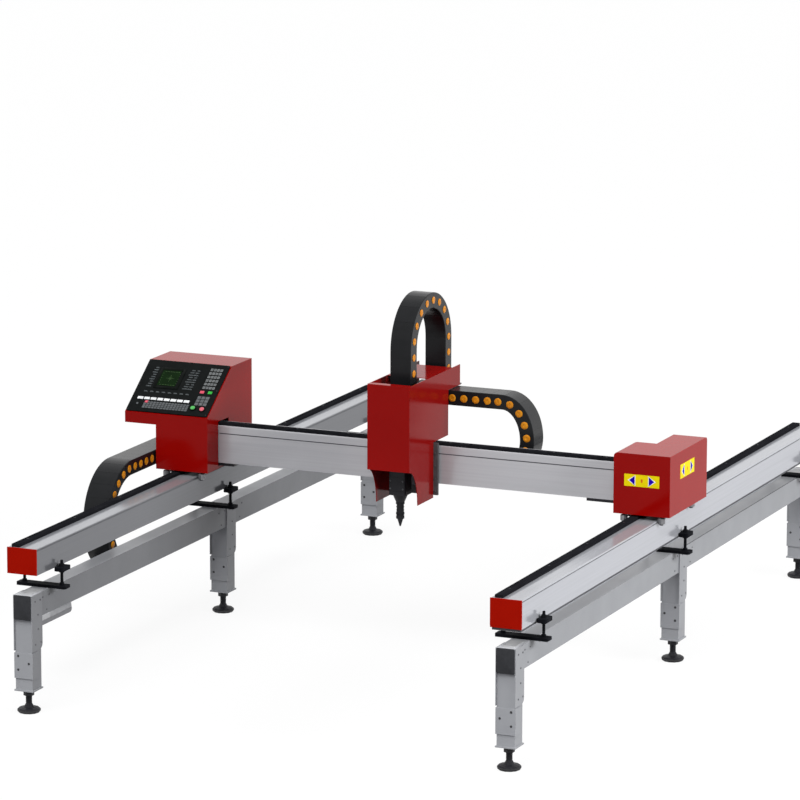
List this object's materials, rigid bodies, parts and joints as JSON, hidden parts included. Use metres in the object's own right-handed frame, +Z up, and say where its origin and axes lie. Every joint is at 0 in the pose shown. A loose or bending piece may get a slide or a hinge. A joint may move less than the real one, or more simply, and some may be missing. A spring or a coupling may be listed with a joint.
{
  "type": "fiber laser cutting machine",
  "caption": "Rail gantry fiber laser cutting machine with red covers, sloping controller, drag chains and a lifting cutting head over an open work space.",
  "frame": {"origin": "Floor level under the middle of the machine: half-way between the cabinet's left side and the drive box's right side, and half-way along the rails.", "axes": "X runs along the cross beam to the drive box, Y along the rails away from the operator's end, Z is up."},
  "size_m": [2.496, 3.56, 1.5262],
  "materials": {
    "anodised_aluminium": "satin",
    "painted_grey_steel": "satin",
    "black_steel": "satin",
    "red_powder_coat": "gloss",
    "chain_plastic": "satin",
    "panel_black": "satin",
    "screen_green": "gloss",
    "button_green": "gloss",
    "button_red": "gloss",
    "bright_steel": "satin"
  },
  "bodies": {
    "frame": {"left_rail": "anodised_aluminium", "left_rail_front_cap": "red_powder_coat", "left_rail_rear_cap": "red_powder_coat", "left_rail_rack": "black_steel", "left_under_frame": "painted_grey_steel", "left_front_leg": "painted_grey_steel", "left_middle_leg": "painted_grey_steel", "left_rear_leg": "painted_grey_steel", "right_rail": "anodised_aluminium", "right_rail_front_cap": "red_powder_coat", "right_rail_rear_cap": "red_powder_coat", "right_rail_rack": "black_steel", "right_under_frame": "painted_grey_steel", "right_front_leg": "painted_grey_steel", "right_middle_leg": "painted_grey_steel", "right_rear_leg": "painted_grey_steel", "side_chain_tray": "painted_grey_steel"},
    "gantry": {"left_carriage_plate": "black_steel", "left_drive_motor": "black_steel", "right_carriage_plate": "black_steel", "right_drive_motor": "black_steel", "cross_beam": "anodised_aluminium", "beam_rack": "black_steel", "beam_chain_tray": "painted_grey_steel", "control_cabinet": "red_powder_coat", "controller_panel": "panel_black", "display_screen": "screen_green", "drive_box_cover": "red_powder_coat", "side_chain_run": "chain_plastic"},
    "head": {"head_carriage": "black_steel", "head_cover": "red_powder_coat", "head_drive_motor": "black_steel", "lift_motor": "black_steel", "beam_chain_run": "chain_plastic"},
    "lift": {"lift_slide": "anodised_aluminium", "cutting_head": "black_steel", "cutting_nozzle": "black_steel", "arch_chain": "chain_plastic"},
    "side_chain": {"side_chain_loop": "chain_plastic"},
    "beam_chain": {"beam_chain_loop": "chain_plastic"},
    "screw": {"lift_screw": "bright_steel"},
    "head_pinion_body": {"head_pinion": "bright_steel"},
    "start_button_body": {"start_button": "button_green"},
    "stop_button_body": {"stop_button": "button_red"},
    "left_pinion_body": {"left_pinion": "bright_steel"},
    "left_front_outer_roller_body": {"left_front_outer_roller": "bright_steel"},
    "left_front_inner_roller_body": {"left_front_inner_roller": "bright_steel"},
    "left_rear_outer_roller_body": {"left_rear_outer_roller": "bright_steel"},
    "left_rear_inner_roller_body": {"left_rear_inner_roller": "bright_steel"},
    "left_front_foot_body": {"left_front_foot": "black_steel"},
    "left_middle_foot_body": {"left_middle_foot": "black_steel"},
    "left_rear_foot_body": {"left_rear_foot": "black_steel"},
    "right_pinion_body": {"right_pinion": "bright_steel"},
    "right_front_inner_roller_body": {"right_front_inner_roller": "bright_steel"},
    "right_front_outer_roller_body": {"right_front_outer_roller": "bright_steel"},
    "right_rear_inner_roller_body": {"right_rear_inner_roller": "bright_steel"},
    "right_rear_outer_roller_body": {"right_rear_outer_roller": "bright_steel"},
    "right_front_foot_body": {"right_front_foot": "black_steel"},
    "right_middle_foot_body": {"right_middle_foot": "black_steel"},
    "right_rear_foot_body": {"right_rear_foot": "black_steel"}
  },
  "joints": [
    {"name": "gantry_slide", "type": "slide", "parent": "frame", "child": "gantry", "axis": [0, 1, 0], "range_m": [-1.15, 1.54]},
    {"name": "carriage_slide", "type": "slide", "parent": "gantry", "child": "head", "axis": [1, 0, 0], "range_m": [-0.72, 0.72]},
    {"name": "lift_slide_joint", "type": "slide", "parent": "head", "child": "lift", "axis": [0, 0, 1], "range_m": [-0.07, 0.045], "deforming": ["arch_chain"]},
    {"name": "side_chain_travel", "type": "slide", "parent": "gantry", "child": "side_chain", "axis": [0, 1, 0], "range_m": [-0.77, 0.575], "deforming": ["side_chain_run"]},
    {"name": "beam_chain_travel", "type": "slide", "parent": "head", "child": "beam_chain", "axis": [1, 0, 0], "range_m": [-0.36, 0.36], "deforming": ["beam_chain_run"]},
    {"name": "lift_screw_turn", "type": "hinge", "parent": "head", "child": "screw", "pos_m": [0.059, -0.2197, 0.745], "axis": [0, 0, 1], "range_deg": [-2600, 1700]},
    {"name": "head_pinion_turn", "type": "hinge", "parent": "head", "child": "head_pinion_body", "pos_m": [0.059, -0.1362, 0.903], "axis": [0, 0, 1], "continuous": true},
    {"name": "left_pinion_turn", "type": "hinge", "parent": "gantry", "child": "left_pinion_body", "pos_m": [-1.0428, -0.245, 0.6917], "axis": [0, 0, 1], "continuous": true},
    {"name": "left_front_outer_roller_turn", "type": "hinge", "parent": "gantry", "child": "left_front_outer_roller_body", "pos_m": [-1.0583, -0.283, 0.704], "axis": [0, 0, 1], "continuous": true},
    {"name": "left_front_inner_roller_turn", "type": "hinge", "parent": "gantry", "child": "left_front_inner_roller_body", "pos_m": [-0.8937, -0.283, 0.704], "axis": [0, 0, 1], "continuous": true},
    {"name": "left_rear_outer_roller_turn", "type": "hinge", "parent": "gantry", "child": "left_rear_outer_roller_body", "pos_m": [-1.0583, 0.072, 0.704], "axis": [0, 0, 1], "continuous": true},
    {"name": "left_rear_inner_roller_turn", "type": "hinge", "parent": "gantry", "child": "left_rear_inner_roller_body", "pos_m": [-0.8937, 0.072, 0.704], "axis": [0, 0, 1], "continuous": true},
    {"name": "left_front_foot_turn", "type": "hinge", "parent": "frame", "child": "left_front_foot_body", "pos_m": [-0.976, -1.733, 0], "axis": [0, 0, 1], "range_deg": [-1080, 1080]},
    {"name": "left_middle_foot_turn", "type": "hinge", "parent": "frame", "child": "left_middle_foot_body", "pos_m": [-0.976, 0.1, 0], "axis": [0, 0, 1], "range_deg": [-1080, 1080]},
    {"name": "left_rear_foot_turn", "type": "hinge", "parent": "frame", "child": "left_rear_foot_body", "pos_m": [-0.976, 1.733, 0], "axis": [0, 0, 1], "range_deg": [-1080, 1080]},
    {"name": "right_pinion_turn", "type": "hinge", "parent": "gantry", "child": "right_pinion_body", "pos_m": [1.0572, -0.245, 0.6917], "axis": [0, 0, 1], "continuous": true},
    {"name": "right_front_inner_roller_turn", "type": "hinge", "parent": "gantry", "child": "right_front_inner_roller_body", "pos_m": [1.0417, -0.283, 0.704], "axis": [0, 0, 1], "continuous": true},
    {"name": "right_front_outer_roller_turn", "type": "hinge", "parent": "gantry", "child": "right_front_outer_roller_body", "pos_m": [1.2063, -0.283, 0.704], "axis": [0, 0, 1], "continuous": true},
    {"name": "right_rear_inner_roller_turn", "type": "hinge", "parent": "gantry", "child": "right_rear_inner_roller_body", "pos_m": [1.0417, 0.072, 0.704], "axis": [0, 0, 1], "continuous": true},
    {"name": "right_rear_outer_roller_turn", "type": "hinge", "parent": "gantry", "child": "right_rear_outer_roller_body", "pos_m": [1.2063, 0.072, 0.704], "axis": [0, 0, 1], "continuous": true},
    {"name": "right_front_foot_turn", "type": "hinge", "parent": "frame", "child": "right_front_foot_body", "pos_m": [1.124, -1.733, 0], "axis": [0, 0, 1], "range_deg": [-1080, 1080]},
    {"name": "right_middle_foot_turn", "type": "hinge", "parent": "frame", "child": "right_middle_foot_body", "pos_m": [1.124, 0.1, 0], "axis": [0, 0, 1], "range_deg": [-1080, 1080]},
    {"name": "right_rear_foot_turn", "type": "hinge", "parent": "frame", "child": "right_rear_foot_body", "pos_m": [1.124, 1.733, 0], "axis": [0, 0, 1], "range_deg": [-1080, 1080]},
    {"name": "start_button_press", "type": "slide", "parent": "gantry", "child": "start_button_body", "axis": [0, 0.5953, -0.8035], "range_m": [0, 0.003], "stiffness_N_per_m": 600, "springref_m": -0.0005},
    {"name": "stop_button_press", "type": "slide", "parent": "gantry", "child": "stop_button_body", "axis": [0, 0.5953, -0.8035], "range_m": [0, 0.003], "stiffness_N_per_m": 600, "springref_m": -0.0005}
  ],
  "couplings": [
    {"joint": "side_chain_travel", "follows": "gantry_slide", "ratio": -0.5},
    {"joint": "beam_chain_travel", "follows": "carriage_slide", "ratio": -0.5},
    {"joint": "lift_screw_turn", "follows": "lift_slide_joint", "rad_per_m": 628.32},
    {"joint": "head_pinion_turn", "follows": "carriage_slide", "rad_per_m": -66.667},
    {"joint": "left_pinion_turn", "follows": "gantry_slide", "rad_per_m": -66.667},
    {"joint": "left_front_outer_roller_turn", "follows": "gantry_slide", "rad_per_m": -62.5},
    {"joint": "left_front_inner_roller_turn", "follows": "gantry_slide", "rad_per_m": 62.5},
    {"joint": "left_rear_outer_roller_turn", "follows": "gantry_slide", "rad_per_m": -62.5},
    {"joint": "left_rear_inner_roller_turn", "follows": "gantry_slide", "rad_per_m": 62.5},
    {"joint": "right_pinion_turn", "follows": "gantry_slide", "rad_per_m": -66.667},
    {"joint": "right_front_inner_roller_turn", "follows": "gantry_slide", "rad_per_m": -62.5},
    {"joint": "right_front_outer_roller_turn", "follows": "gantry_slide", "rad_per_m": 62.5},
    {"joint": "right_rear_inner_roller_turn", "follows": "gantry_slide", "rad_per_m": -62.5},
    {"joint": "right_rear_outer_roller_turn", "follows": "gantry_slide", "rad_per_m": 62.5}
  ]
}
